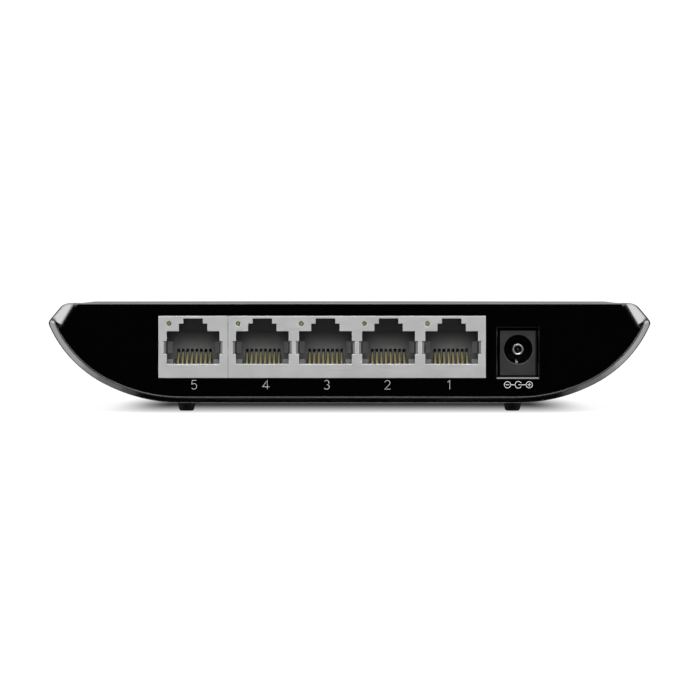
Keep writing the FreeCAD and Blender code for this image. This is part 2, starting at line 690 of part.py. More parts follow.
keep("board_screws", group("board_screw_set", [
    screw(f"board_screw_{i}", "2.3", "1.5", "1.15", "3.6", (x, y, "board_top"), True)
    for i, (x, y) in enumerate(BOARD_SCREWS)]))
keep("case_screws", group("case_screw_set", [
    screw(f"case_screw_{i}", "2.5", "1.6", "1.2", "11", (x, y, "case_screw_seat"), False)
    for i, (x, y) in enumerate(CASE_SCREWS)]))


# Ports: the single jack holds port 5 and the block holds ports 4 to 1, counted from -X.

PORTS = [("5", "single_jack_x")]
PORTS += [(f"{4 - i}", f"block_jack_x + {i - 1.5} * port_pitch") for i in range(4)]
FACE = "-jack_face"
LEGS = (f"{FACE} + leg_front", f"{FACE} + leg_rear")


def port_opening(name, x, start, depth):
    """The opening of a port: the plug's way in, the two-step latch notch and the side windows."""
    def slot(part, width, low, high, part_depth):
        return box_about(f"{name}_{part}", (width, part_depth, f"({high}) - ({low})"),
                         (x, f"{start} + ({part_depth}) / 2", low))
    return [
        slot("wide", "port_width", "port_floor", "port_roof", depth),
        slot("latch", "latch_width", "port_roof - 0.1", "latch_roof", f"min({depth}; latch_depth)"),
        slot("notch", "notch_width", "port_roof - 0.1", "notch_roof", f"min({depth}; latch_depth)"),
    ]


# A spring finger's outline seen from above: how far out it is from the port opening's side, and its
# depth behind the face. Its front side comes first, from the root to the tip, then its back side.
FINGER = [("window_reach + 0.1", "0.05"), ("0.24", "0.35"), ("-0.15", "3.6"), ("-1.3", "4.5"),
          ("-0.67", "6"), ("-0.48", "5.92"), ("-1.06", "4.56"), ("0.05", "3.71"), ("0.42", "0.48"),
          ("window_reach + 0.18", "0.23")]


def spring_finger(name, x, side):
    """A strip of the shield, bent back through the side window to press on a plug."""
    body = new_body(name)
    sketch = sketch_on(body, "XY_Plane", f"{name}_sketch", "window_floor + 0.1")
    draw_lines(sketch, [(f"{side} * (port_width / 2 + ({out}))", deep) for out, deep in FINGER])
    pad(body, sketch, f"{name}_pad", "window_roof - window_floor - 0.2")
    return place(body, (x, FACE, "0"))


def shield(name, x, width, ports):
    """Sheet metal folded round a jack: face, top, sides and back, with fingers and legs."""
    depth, height = "jack_depth", "jack_top - board_top"
    outer = box_about(f"{name}_outer", (width, depth, height), (x, f"{FACE} + jack_depth / 2", "board_top"))
    inner = box_about(f"{name}_inner", (f"{width} - 2 * shield_thickness", f"{depth} - 2 * shield_thickness",
                                       f"{height}"),
                      (x, f"{FACE} + jack_depth / 2", "board_top - shield_thickness"))
    tools, fingers = [inner], []
    for number, port_x in ports:
        tools += port_opening(f"{name}_{number}", port_x, f"{FACE} - 1", "2")
        tools.append(box_about(f"{name}_windows_{number}",
                               ("port_width + 2 * window_reach", "2", "window_roof - window_floor"),
                               (port_x, FACE, "window_floor")))
        tools.append(cylinder(f"{name}_lamp_{number}", "lamp_hole", "jack_depth + 2",
                              (f"{port_x} - lamp_offset", f"{FACE} - 1", "lamp_height"), "y"))
        fingers += [spring_finger(f"{name}_finger_{number}_{side + 1}", port_x, side) for side in SIDES]
    legs = []
    for side in SIDES:
        for i, y in enumerate(LEGS):
            at = (f"{x} + {side} * ({width} - shield_thickness) / 2", y, "board_top - leg_reach")
            size = ("shield_thickness", "leg_width", "leg_reach + 0.8")
            legs.append(box_about(f"{name}_leg_{i}_{side + 1}", size, at))
    return fuse(name, [cut(f"{name}_sheet", outer, tools)] + fingers + legs)


def housing(name, x, width, ports):
    """The plastic body of a jack, with a plug cavity, comb slots and a contact trough for each port."""
    inset = "(shield_thickness + 0.05)"
    size = (f"{width} - 2 * {inset}", f"jack_depth - 2 * {inset}", f"jack_top - board_top - {inset} - 0.05")
    block = box_about(f"{name}_block", size, (x, f"{FACE} + jack_depth / 2", "board_top + 0.05"))
    tools, rails = [], []
    for number, port_x in ports:
        key = f"{name}_{number}"
        tools += port_opening(key, port_x, f"{FACE} - 0.5", "port_depth + 0.5")
        tools.append(box_about(f"{key}_sides", ("port_width + 2 * window_reach + 0.3", "6.7",
                                                "window_roof - window_floor + 0.2"),
                               (port_x, f"{FACE} + 3.35", "window_floor - 0.1")))
        start = f"{FACE} + trough_start"
        tools.append(box_about(f"{key}_trough", ("trough_width", "port_depth - trough_start", "2"),
                               (port_x, f"{start} + (port_depth - trough_start) / 2", "trough_floor")))
        tools.append(box_about(f"{key}_turn", ("channel_width", "0.75", "1.2"),
                               (port_x, f"{start} + 0.75 / 2", "channel_floor + 1")))
        tools.append(box_about(f"{key}_channel", ("channel_width", "channel_length", "1.5"),
                               (port_x, f"{start} + channel_length / 2", "channel_floor")))
        tools.append(cylinder(f"{key}_lamp", "lamp_hole", "jack_depth + 2",
                              (f"{port_x} - lamp_offset", f"{FACE} - 1", "lamp_height"), "y"))
        for i in range(8):
            tools.append(box_about(
                f"{key}_slot_{i}", ("comb_slot", "comb_depth", "comb_roof - comb_floor"),
                (f"{port_x} + ({i - 3.5}) * contact_pitch", "-comb_front + comb_depth / 2", "comb_floor")))
        for side in SIDES:
            at = (f"{port_x} + {side} * (port_width / 2 - 0.7)", "-rail_y", "port_floor - 0.1")
            size = ("rail_width", "rail_length", "rail_height")
            rails.append(box_about(f"{key}_rail_{side + 1}", size, at))
    return fuse(name, [cut(f"{name}_shell", block, tools)] + rails)


for label, x, width, ports in (
        ("single_jack", "single_jack_x", "single_jack_width", PORTS[:1]),
        ("four_port_jack", "block_jack_x", "block_jack_width", PORTS[1:])):
    keep(f"{label}_shield", shield(f"{label}_metal", x, width, ports))
    keep(f"{label}_housing", housing(f"{label}_plastic", x, width, ports))


# Contacts and light pipes of each port.

SPRING = [("-contact_root - 0.55", "contact_height"), ("-contact_root", "contact_height"),
          ("-contact_knee", "contact_rise"), ("-contact_knee + 0.9", "contact_rise - 0.3")]
FIRST_WIRE = "-3.5 * contact_pitch"


def tail_path(y):
    front = "-contact_root - 0.55"
    return [(y, "tail_tip"), (y, "tail_height"), (front, "tail_height"), (front, "contact_height - 0.35")]


for number, x in PORTS:
    springs = pipe_row(f"springs_{number}", "contact_radius", SPRING, "8", "contact_pitch", FIRST_WIRE,
                       (x, "0", "0"))
    keep(f"port_{number}_contact_springs", springs)
    tails = [pipe_row(f"tails_{number}_{row}", "contact_radius",
                      tail_path(f"-tail_rear + {row} * tail_step"), "4", "2 * contact_pitch",
                      f"{FIRST_WIRE} + {row} * contact_pitch", (x, "0", "0"))
             for row in (0, 1)]
    keep(f"port_{number}_contact_tails", group(f"tail_set_{number}", tails))
    route = [("-jack_face + 0.15", "lamp_height"), ("-lamp_turn", "lamp_height"),
             ("-lamp_turn", "board_top + 0.75")]
    pipe = pipe_row(f"light_pipe_{number}", "lamp_radius", route, at=(f"{x} - lamp_offset", "0", "0"))
    keep(f"port_{number}_light_pipe", pipe)


# Power jack.

def top_and_right_edges(shape):
    """Numbers of the upper edge and the +X edge of a block's rear face."""
    whole = shape.BoundBox
    for number, edge in enumerate(shape.Edges, 1):
        bounds = edge.BoundBox
        at_rear = bounds.YMax - whole.YMin < 1e-4
        if at_rear and (whole.ZMax - bounds.ZMin < 1e-4 or whole.XMax - bounds.XMin < 1e-4):
            yield number


def power_jack_housing():
    rear = box_about("power_rear", ("power_width", "power_depth - 0.9", "power_top - board_top - 0.2"),
                     ("power_x", "-power_face + 0.9 + (power_depth - 0.9) / 2", "board_top + 0.05"))
    snout = box_about("power_front", ("power_width", "power_snout", "power_top - power_floor"),
                      ("power_x", "-power_face + power_snout / 2", "power_floor"))
    doc.recompute()
    ease = SIZE["power_ease"]
    snout = eased("power_front_eased", "Chamfer", snout,
                  [(n, ease, ease) for n in top_and_right_edges(snout.Shape)])
    bore = cylinder("power_bore_hole", "power_bore", "power_bore_depth + 1",
                    ("power_x", "-power_face - 1", "power_height"), "y")
    mouth = cone("power_bore_mouth", "power_bore + power_mouth", "power_bore", "power_mouth",
                 ("power_x", "-power_face - 0.01", "power_height"), "y")
    pin_hole = cylinder("power_pin_hole", "0.85", "8", ("power_x", "-34", "power_height"), "y")
    slot = box_about("power_spring_slot", ("power_spring_width + 0.4", "9", "2.6"),
                     ("power_spring_x", "-37.1", "9.2"))
    lug_slot = box_about("power_lug_slot", ("power_spring_width + 0.4", "0.6", "2.2"),
                         ("power_spring_x", "-power_spring_lug", "7.2"))
    body = fuse("power_body", [rear, snout])
    return cut("power_plastic", body, [bore, mouth, pin_hole, slot, lug_slot])


def power_jack_pin():
    profile = [("0", "0"), ("power_pin", "0"), ("power_pin", "power_pin_length - 0.15"),
               ("power_pin - 0.1", "power_pin_length"), ("power_pin - power_pin_wall", "power_pin_length"),
               ("power_pin - power_pin_wall - 0.04", "power_pin_cup"), ("0.3", "power_pin_cup"),
               ("0.3", "power_pin_cup + 0.6"), ("0.15", "power_pin_cup + 0.75"),
               ("0", "power_pin_cup + 0.75")]
    pin = turned("power_pin_front", profile)
    place(pin, ("power_x", "-power_face + power_bore_depth", "power_height"), Rotation(Vector(1, 0, 0), 90))
    stem = cylinder("power_pin_stem", "0.8", "4.95",
                    ("power_x", "-power_face + power_bore_depth - 0.2", "power_height"), "y")
    lug = box_about("power_pin_strip", ("2.4", "0.4", "power_height + 1.2 - tail_tip"),
                    ("power_x", "-power_pin_lug", "tail_tip"))
    return fuse("power_pin_solid", [pin, stem, lug])


def power_jack_spring():
    body = new_body("power_spring")
    sketch = sketch_on(body, "YZ_Plane", "power_spring_sketch", "-power_spring_width / 2")
    draw_lines(sketch, [("-33.4", "9.8"), ("-33.4", "10.05"), ("-40.25", "11.75"), ("-41.2", "11.1"),
                        ("-41.2", "10.8"), ("-40.25", "11.45")])
    pad(body, sketch, "power_spring_pad", "power_spring_width")
    return place(body, ("power_spring_x", "0", "0"))


keep("power_jack_housing", power_jack_housing())
keep("power_jack_pin", power_jack_pin())
keep("power_jack_spring", power_jack_spring())
keep("power_jack_spring_lug", box_about("power_spring_strip", ("power_spring_width", "0.4", "4.75"),
                                        ("power_spring_x", "-power_spring_lug", "tail_tip")))


# Circuit board and what is soldered to it.

def circuit_board():
    size = ("2 * board_half_width", "board_rear + board_front", "board_thickness")
    plate = box("board_plate", size, ("-board_half_width", "-board_rear", "board_top - board_thickness"))
    low = "board_top - board_thickness - 1"
    holes = [cylinder(f"board_hole_{i}", "board_screw_hole", "4", (x, y, low))
             for i, (x, y) in enumerate(BOARD_SCREWS)]
    for number, x in PORTS:
        for i in range(8):
            at = (f"{x} + ({i - 3.5}) * contact_pitch", f"-tail_rear + {i % 2} * tail_step", low)
            holes.append(cylinder(f"tail_hole_{number}_{i}", "contact_radius + 0.1", "4", at))
    for label, x, width in (("single", "single_jack_x", "single_jack_width"),
                            ("block", "block_jack_x", "block_jack_width")):
        for side in SIDES:
            for i, y in enumerate(LEGS):
                at = (f"{x} + {side} * ({width} - shield_thickness) / 2", y, low)
                holes.append(box_about(f"{label}_leg_hole_{i}_{side + 1}", ("0.4", "1.6", "4"), at))
    for i, y in enumerate(("-power_pin_lug", "-power_spring_lug")):
        holes.append(box_about(f"power_lug_hole_{i}", ("2.8", "0.8", "4"), ("power_x", y, low)))
    return cut("board", plate, holes)


def chip_with_leads(name, x, y, size, count, pitch, four_sides=False):
    """A moulded package on the board, with rows of leads on two or on all four of its sides."""
    width, depth, _ = size
    pieces = [box_about(f"{name}_moulding", size, (x, y, "board_top + 0.15"))]
    for side in SIDES:
        for i in range(count):
            shift = f"{i - (count - 1) / 2} * {pitch}"
            at = (f"{x} + {shift}", f"{y} + {side} * ({depth}) / 2", "board_top + 0.02")
            pieces.append(box_about(f"{name}_lead_{side + 1}_{i}", (f"{pitch} * 0.45", "1.5", "0.5"), at))
            if four_sides:
                at = (f"{x} + {side} * ({width}) / 2", f"{y} + {shift}", "board_top + 0.02")
                pieces.append(box_about(f"{name}_end_{side + 1}_{i}", ("1.5", f"{pitch} * 0.45", "0.5"), at))
    return fuse(name, pieces)


def heat_sink():
    base = "board_top + 0.15 + chip_height + 0.5"
    block = box_about("sink_block", ("sink_side", "sink_side", "sink_height"), ("chip_x", "chip_y", base))
    gaps = [box_about(f"sink_gap_{i + 3}", ("fin_gap", "sink_side + 2", "sink_height"),
                      (f"chip_x + {i} * fin_pitch", "chip_y", f"{base} + sink_base"))
            for i in range(-3, 4)]
    cross = [box_about(f"sink_cross_{i + 1}", ("sink_side + 2", "fin_gap", "sink_height"),
                       ("chip_x", f"chip_y + {i} * cross_pitch", f"{base} + sink_base"))
             for i in range(-1, 2)]
    return cut("sink", block, gaps + cross)


def capacitor(name, x, y):
    """A can capacitor: a square base, the can and its rolled groove."""
    can = turned(f"{name}_can", [
        ("0", "1"), ("can_radius - 0.25", "1"), ("can_radius", "1.25"), ("can_radius", "2"),
        ("can_radius - 0.2", "2.2"), ("can_radius", "2.4"), ("can_radius", "can_height - 0.3"),
        ("can_radius - 0.25", "can_height"), ("0", "can_height")], (x, y, "board_top"))
    base = box_about(f"{name}_base", ("can_foot", "can_foot", "1.1"), (x, y, "board_top + 0.02"))
    return fuse(name, [base, can])


def crystal(x, y):
    """A flat metal can with round ends on a thin flange."""
    pieces = []
    for i, (grow, low, high) in enumerate((("0.35", "0.02", "0.4"), ("0", "0.3", "3.5"))):
        size = ("6.4", f"3.8 + 2 * {grow}", f"{high} - {low}")
        pieces.append(box_about(f"crystal_{i}", size, (x, y, f"board_top + {low}")))
        for side in SIDES:
            at = (f"{x} + {side} * 3.2", y, f"board_top + {low}")
            pieces.append(cylinder(f"crystal_{i}_{side + 1}", f"1.9 + {grow}", size[2], at))
    return fuse("crystal_can", pieces)


def small_parts():
    """Resistors and capacitors in rows round the switch chip and behind the jacks."""
    places = [(f"chip_x + {2.4 * i - 12}", "chip_y - 11.6") for i in range(11)]
    places += [(f"chip_x + {2.4 * i - 9.6}", "chip_y + 11.9") for i in range(9)]
    places += [(f"transformer_first + {7.1 * i - 3.5}", "transformer_y + 5.9") for i in range(10)]
    return group("small_part_set", [
        box_about(f"small_part_{i}", ("0.8", "1.6", "0.7"), (x, y, "board_top + 0.02"))
        for i, (x, y) in enumerate(places)])


def choke(x, y):
    """A wire-wound drum choke: two flanges and its winding on a square foot."""
    drum = turned("choke_drum", [
        ("0", "0.8"), ("drum_radius", "0.8"), ("drum_radius", "1.5"), ("drum_radius - 0.5", "1.6"),
        ("drum_radius - 0.5", "drum_height - 0.9"), ("drum_radius", "drum_height - 0.8"),
        ("drum_radius", "drum_height"), ("0", "drum_height")], (x, y, "board_top"))
    foot = box_about("choke_foot", ("can_foot", "can_foot", "0.9"), (x, y, "board_top + 0.02"))
    return fuse("choke_solid", [foot, drum])


keep("circuit_board", circuit_board())
chip_size = ("chip_side", "chip_side", "chip_height")
keep("switch_chip",
     chip_with_leads("switch_chip_solid", "chip_x", "chip_y", chip_size, 20, "0.65", True))
keep("thermal_pad", box_about("pad_solid", ("chip_side - 1", "chip_side - 1", "0.48"),
                              ("chip_x", "chip_y", "board_top + chip_height + 0.16")))
keep("heat_sink", heat_sink())
for i in range(5):
    transformer_size = ("transformer_width", "transformer_depth", "transformer_height")
    middle = f"transformer_first + {i} * transformer_pitch"
    keep(f"transformer_{5 - i}", chip_with_leads(f"transformer_solid_{i}", middle, "transformer_y",
                                                 transformer_size, 12, "1"))
keep("memory_chip", chip_with_leads("memory_chip_solid", "-14", "-5.6", ("5", "4", "1.5"), 4, "1.27"))
keep("voltage_regulator", chip_with_leads("regulator_solid", "32", "-6.5", ("6.5", "3.5", "1.6"), 3, "2.3"))
keep("crystal", crystal("-15", "3"))
keep("choke", choke("32", "2"))
keep("smoothing_capacitors", group("capacitor_set", [
    capacitor("capacitor_0", "32", "11"), capacitor("capacitor_1", "24", "11")]))
keep("protection_diode", chip_with_leads("diode_solid", "39.5", "-18", ("2.6", "4.3", "2.2"), 1, "3.2"))
keep("small_parts", small_parts())


# Lamps: one behind each port, and the power lamp with its light pipe to the front wall.

LAMP = ("1.6", "0.8", "0.6")
keep("port_lamps", group("port_lamp_set", [
    box_about(f"port_lamp_{number}", LAMP, (f"{x} - lamp_offset", "-lamp_turn", "board_top + 0.02"))
    for number, x in PORTS]))
keep("power_lamp", box_about("power_lamp_solid", LAMP,
                             ("power_lamp_x", "power_lamp_y", "board_top + 0.02")))
keep("power_light_pipe", pipe_row("power_light_pipe_solid", "power_lamp_radius",
                                  [("case_depth / 2 - wall_recess + 0.2", "power_lamp_height"),
                                   ("power_lamp_y", "power_lamp_height"),
                                   ("power_lamp_y", "board_top + 0.75")],
                                  at=("power_lamp_x", "0", "0")))


# Check everything, then write one file for each sub-part.

doc.recompute()
failed = [f"{o.Name}: {o.State}" for o in doc.Objects if {"Invalid", "Error"} & set(o.State)]
failed += [f"{label}: bad shape" for label, part in parts.items()
           if part.Shape.isNull() or not part.Shape.isValid() or part.Shape.Volume < 1e-3]
if failed:
    raise RuntimeError("; ".join(failed))
os.makedirs("parts", exist_ok=True)
for label, part in parts.items():
    part.Shape.exportStep(f"parts/{label}.step")
    print(f"{label}: {len(part.Shape.Solids)} solid(s), {part.Shape.Volume:.1f} mm3")
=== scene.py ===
"""A desktop network switch seen from its jacks: materials, fine pieces, light and camera round the model."""

import json
import math

import bmesh
import bpy
from mathutils import Matrix, Vector


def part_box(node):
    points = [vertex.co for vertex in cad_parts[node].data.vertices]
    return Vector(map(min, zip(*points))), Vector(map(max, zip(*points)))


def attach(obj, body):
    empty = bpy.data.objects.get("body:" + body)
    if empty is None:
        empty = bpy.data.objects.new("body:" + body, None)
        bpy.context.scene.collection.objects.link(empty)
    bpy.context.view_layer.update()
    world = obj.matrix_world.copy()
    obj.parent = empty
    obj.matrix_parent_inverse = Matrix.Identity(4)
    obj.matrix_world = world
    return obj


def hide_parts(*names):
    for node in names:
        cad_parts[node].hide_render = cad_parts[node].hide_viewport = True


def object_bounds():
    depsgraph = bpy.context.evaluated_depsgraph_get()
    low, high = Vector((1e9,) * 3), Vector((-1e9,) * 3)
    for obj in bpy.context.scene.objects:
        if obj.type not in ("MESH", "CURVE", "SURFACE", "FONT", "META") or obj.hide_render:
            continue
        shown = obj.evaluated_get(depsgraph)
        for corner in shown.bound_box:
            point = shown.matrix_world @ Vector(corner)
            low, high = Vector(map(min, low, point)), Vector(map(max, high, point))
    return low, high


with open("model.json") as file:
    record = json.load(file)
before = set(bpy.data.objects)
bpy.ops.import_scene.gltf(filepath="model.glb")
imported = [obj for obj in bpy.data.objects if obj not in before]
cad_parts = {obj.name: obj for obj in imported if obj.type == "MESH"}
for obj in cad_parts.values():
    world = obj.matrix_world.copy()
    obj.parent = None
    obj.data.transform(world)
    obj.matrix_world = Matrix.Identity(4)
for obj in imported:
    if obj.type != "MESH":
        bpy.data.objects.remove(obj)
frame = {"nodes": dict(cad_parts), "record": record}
cad_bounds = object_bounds()

MM = 0.001
CASE = "case"
PORTS = "54321"
WIRES = 8


# Materials. Object coordinates are metres in the model's frame, so every texture has its real scale.

def new_material(name, colour, roughness, metallic=0.0, **sockets):
    """A Principled material; sockets are more of its inputs by name, with _ for a space."""
    made = bpy.data.materials.new(name)
    made.use_nodes = True
    shader = made.node_tree.nodes["Principled BSDF"]
    shader.inputs["Base Color"].default_value = (*colour, 1)
    shader.inputs["Roughness"].default_value = roughness
    shader.inputs["Metallic"].default_value = metallic
    for key, value in sockets.items():
        shader.inputs[key.replace("_", " ")].default_value = value
    return made


def add_node(made, kind, **values):
    node = made.node_tree.nodes.new(kind)
    for key, value in values.items():
        if key in node.inputs:
            node.inputs[key].default_value = value
        else:
            setattr(node, key, value)
    return node


def link(made, source, output, target, socket):
    made.node_tree.links.new(source.outputs[output], target.inputs[socket])


def shader_of(made):
    return made.node_tree.nodes["Principled BSDF"]


def noise(made, grain, detail=2.0, stretch=(1, 1, 1)):
    """Noise whose grain is a length in metres, drawn out along an axis by a factor under one."""
    place = add_node(made, "ShaderNodeTexCoord")
    mapping = add_node(made, "ShaderNodeMapping", Scale=[s / grain for s in stretch])
    texture = add_node(made, "ShaderNodeTexNoise", Scale=1.0, Detail=detail)
    link(made, place, "Object", mapping, "Vector")
    link(made, mapping, "Vector", texture, "Vector")
    return texture


def between(made, texture, low, high):
    """The noise's middle range spread between two values."""
    spread = add_node(made, "ShaderNodeMapRange")
    for key, value in (("From Min", 0.3), ("From Max", 0.7), ("To Min", low), ("To Max", high)):
        spread.inputs[key].default_value = value
    link(made, texture, "Fac", spread, "Value")
    return spread


def vary_roughness(made, grain, low, high, stretch=(1, 1, 1)):
    spread = between(made, noise(made, grain, 3.0, stretch), low, high)
    link(made, spread, "Result", shader_of(made), "Roughness")


def vary_colour(made, grain, colour_a, colour_b, stretch=(1, 1, 1)):
    ramp = add_node(made, "ShaderNodeValToRGB")
    ramp.color_ramp.elements[0].color = (*colour_a, 1)
    ramp.color_ramp.elements[1].color = (*colour_b, 1)
    link(made, between(made, noise(made, grain, 3.0, stretch), 0, 1), "Result", ramp, "Fac")
    link(made, ramp, "Color", shader_of(made), "Base Color")


def paint_shade_along(made, axis, start, end, share):
    """Paints shade: scales the varied colour down to a share of it between two places along an axis."""
    colour = shader_of(made).inputs["Base Color"].links[0].from_socket
    place = add_node(made, "ShaderNodeTexCoord")
    parts = add_node(made, "ShaderNodeSeparateXYZ")
    fade = add_node(made, "ShaderNodeMapRange")
    scaled = add_node(made, "ShaderNodeVectorMath", operation="SCALE")
    for key, value in (("From Min", start), ("From Max", end), ("To Min", 1), ("To Max", share)):
        fade.inputs[key].default_value = value
    link(made, place, "Object", parts, "Vector")
    link(made, parts, axis, fade, "Value")
    made.node_tree.links.new(colour, scaled.inputs["Vector"])
    link(made, fade, "Result", scaled, "Scale")
    link(made, scaled, "Vector", shader_of(made), "Base Color")


def relief(made, grain, height, edge, stretch=(1, 1, 1)):
    """Fine surface relief of a height in metres over edges softened to a radius in metres."""
    bump = add_node(made, "ShaderNodeBump", Strength=1.0, Distance=height)
    bevel = add_node(made, "ShaderNodeBevel", Radius=edge)
    link(made, noise(made, grain, 2.0, stretch), "Fac", bump, "Height")
    link(made, bevel, "Normal", bump, "Normal")
    link(made, bump, "Normal", shader_of(made), "Normal")
    return bevel


def soften_corners(made, bevel, edge, corner_edge):
    """A wider softening of the edges at the cover's four corners, beyond a place along X and Z."""
    corner_x = 60 * MM
    corner_z = 18.6 * MM
    blend = 0.5 * MM
    place = add_node(made, "ShaderNodeTexCoord")
    parts = add_node(made, "ShaderNodeSeparateXYZ")
    sideways = add_node(made, "ShaderNodeMath", operation="ABSOLUTE")
    both = add_node(made, "ShaderNodeMath", operation="MULTIPLY")
    radius = add_node(made, "ShaderNodeMapRange")
    radius.inputs["To Min"].default_value = edge
    radius.inputs["To Max"].default_value = corner_edge
    link(made, place, "Object", parts, "Vector")
    link(made, parts, "X", sideways, 0)
    for i, (source, output, low) in enumerate(((sideways, "Value", corner_x), (parts, "Z", corner_z))):
        fade = add_node(made, "ShaderNodeMapRange")
        fade.inputs["From Min"].default_value = low
        fade.inputs["From Max"].default_value = low + blend
        link(made, source, output, fade, "Value")
        link(made, fade, "Result", both, i)
    link(made, both, "Value", radius, "Value")
    link(made, radius, "Result", bevel, "Radius")


def gloss_black():
    edge = 0.12 * MM
    corner_edge = 1.1 * MM
    made = new_material("cover_gloss_black", (0.0004, 0.0004, 0.0005), 0.06, IOR=1.5)
    vary_roughness(made, 9 * MM, 0.04, 0.08)
    bevel = relief(made, 2.5 * MM, 0.0008 * MM, edge)
    soften_corners(made, bevel, edge, corner_edge)
    return made


def satin_black():
    made = new_material("tray_satin_black", (0.001, 0.001, 0.0011), 0.13, IOR=1.5)
    vary_roughness(made, 3 * MM, 0.1, 0.16)
    relief(made, 0.28 * MM, 0.002 * MM, 0.42 * MM)
    return made


def foot_rubber():
    made = new_material("foot_rubber_black", (0.0015, 0.0015, 0.0015), 0.8, Specular_IOR_Level=0.1)
    vary_roughness(made, 1.5 * MM, 0.7, 0.9)
    relief(made, 0.2 * MM, 0.01 * MM, 0.1 * MM)
    return made


def shield_metal():
    """Matt nickel plate with the faint lengthwise grain of rolled sheet, with painted shade darkening it
    inside the openings.
    """
    lengthwise = (0.1, 1, 1)
    made = new_material("shield_nickel_steel", (0.465, 0.465, 0.47), 0.45, 0.85)
    vary_colour(made, 5 * MM, (0.445, 0.445, 0.45), (0.495, 0.495, 0.495))
    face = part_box("four_port_jack_shield")[0].y
    # painted shade: the plate darkens to about a quarter of its colour just behind its front face, inside
    # the openings.
    paint_shade_along(made, "Y", face + 0.05 * MM, face + 0.15 * MM, 0.27)
    vary_roughness(made, 0.35 * MM, 0.42, 0.5, lengthwise)
    relief(made, 0.22 * MM, 0.001 * MM, 0.16 * MM, lengthwise)
    return made


def jack_plastic():
    """Grey moulding with painted light and shade: lighter low and deep in the openings, darker towards their
    tops and mouths.
    """
    painted_light_below = 14.7 * MM
    painted_shade_above = 17.8 * MM
    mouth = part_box("four_port_jack_shield")[0].y
    made = new_material("jack_plastic_grey", (0.083, 0.085, 0.085), 0.5)
    vary_colour(made, 3 * MM, (0.077, 0.079, 0.079), (0.090, 0.092, 0.092))
    # painted shade: the moulding darkens towards the tops of the openings.
    paint_shade_along(made, "Z", painted_light_below, painted_shade_above, 0.43)
    # painted shade: the moulding darkens towards the mouths of the openings.
    paint_shade_along(made, "Y", mouth + 2.0 * MM, mouth + 1.0 * MM, 0.45)
    relief(made, 0.15 * MM, 0.004 * MM, 0.08 * MM)
    return made


def contact_gold():
    made = new_material("contact_gold", (0.47, 0.41, 0.19), 0.38, 0.6)
    vary_colour(made, 1.5 * MM, (0.42, 0.37, 0.18), (0.52, 0.45, 0.21))
    vary_roughness(made, 0.4 * MM, 0.3, 0.45, (1, 0.2, 0.2))
    return made


def lit_acrylic():
    made = new_material("light_pipe_green", (0.11, 0.16, 0.05), 0.12, Transmission_Weight=0.3, IOR=1.49)
    vary_colour(made, 0.6 * MM, (0.08, 0.12, 0.04), (0.15, 0.20, 0.07))
    relief(made, 0.3 * MM, 0.002 * MM, 0.25 * MM)
    return made


def power_jack_plastic():
    made = new_material("power_jack_plastic_black", (0.007, 0.007, 0.0075), 0.45)
    vary_roughness(made, 1.2 * MM, 0.4, 0.52)
    relief(made, 0.14 * MM, 0.004 * MM, 0.12 * MM)
    return made


def plated(name, colour, roughness, grain=0.5 * MM, stretch=(1, 1, 1), edge=0.06 * MM):
    """A bare or plated metal with fine variation in its polish."""
    made = new_material(name, colour, roughness, 1.0)
    vary_roughness(made, grain, roughness * 0.8, roughness * 1.3, stretch)
    relief(made, grain, 0.0015 * MM, edge, stretch)
    return made


def pin_nickel():
    """Bright nickel at the tip of the power jack's pin, with painted shade darkening it down in its cup and
    along its side.
    """
    made = plated("power_pin_nickel", (0.55, 0.545, 0.535), 0.3, edge=0.12 * MM)
    vary_colour(made, 0.5 * MM, (0.52, 0.515, 0.505), (0.58, 0.575, 0.565))
    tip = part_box("power_jack_pin")[0].y
    # painted shade: the pin darkens to a tenth of its colour beyond its tip.
    paint_shade_along(made, "Y", tip + 0.25 * MM, tip + 0.35 * MM, 0.1)
    return made


def moulded(name, colour, roughness, grain=0.2 * MM):
    """A matt moulding with a slightly uneven colour."""
    made = new_material(name, colour, roughness)
    vary_colour(made, 2 * MM, colour, [c * 1.25 for c in colour])
    relief(made, grain, 0.004 * MM, 0.05 * MM)
    return made


def laminate():
    """Green solder mask over the weave of the glass cloth."""
    made = new_material("board_solder_mask", (0.01, 0.09, 0.035), 0.35)
    vary_colour(made, 1.1 * MM, (0.008, 0.075, 0.03), (0.014, 0.11, 0.045), (0.15, 1, 1))
    relief(made, 0.45 * MM, 0.01 * MM, 0.1 * MM)
    return made


MATERIALS = {
    "cover_plastic": gloss_black(),
    "tray_plastic": satin_black(),
    "foot_rubber": foot_rubber(),
    "screw_steel": plated("screw_zinc", (0.58, 0.58, 0.60), 0.3),
    "shield_steel": shield_metal(),
    "jack_plastic": jack_plastic(),
    "contact_gold": contact_gold(),
    "light_pipe": lit_acrylic(),
    "power_jack_plastic": power_jack_plastic(),
    "power_pin_metal": pin_nickel(),
    "spring_metal": plated("spring_nickel", (0.80, 0.78, 0.72), 0.28),
    "board_laminate": laminate(),
    "chip_epoxy": moulded("chip_epoxy_black", (0.016, 0.016, 0.017), 0.5),
    "pad_silicone": moulded("pad_silicone_grey", (0.30, 0.34, 0.40), 0.7),
    "sink_aluminium": plated("sink_aluminium", (0.80, 0.81, 0.82), 0.42, 0.2 * MM),
    "crystal_steel": plated("crystal_can_steel", (0.72, 0.71, 0.69), 0.25, 0.4 * MM, (0.2, 1, 1)),
    "choke_ferrite": moulded("choke_ferrite_grey", (0.045, 0.042, 0.040), 0.6),
    "capacitor_aluminium": plated("capacitor_can", (0.76, 0.76, 0.78), 0.28, 0.5 * MM, (1, 1, 0.2)),
    "ceramic": moulded("ceramic_tan", (0.30, 0.20, 0.12), 0.45),
    "lamp_white": moulded("lamp_package_white", (0.75, 0.76, 0.68), 0.35),
}
PRINT_INK = moulded("print_ink_white", (0.36, 0.36, 0.36), 0.6)
for row in frame["record"]["subparts"]:
    node = frame["nodes"][row["node"]]
    node.data.materials.clear()
    node.data.materials.append(MATERIALS[row["material_slot"]])


# Mesh helpers.

def middle(node):
    low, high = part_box(node)
    return (low + high) / 2


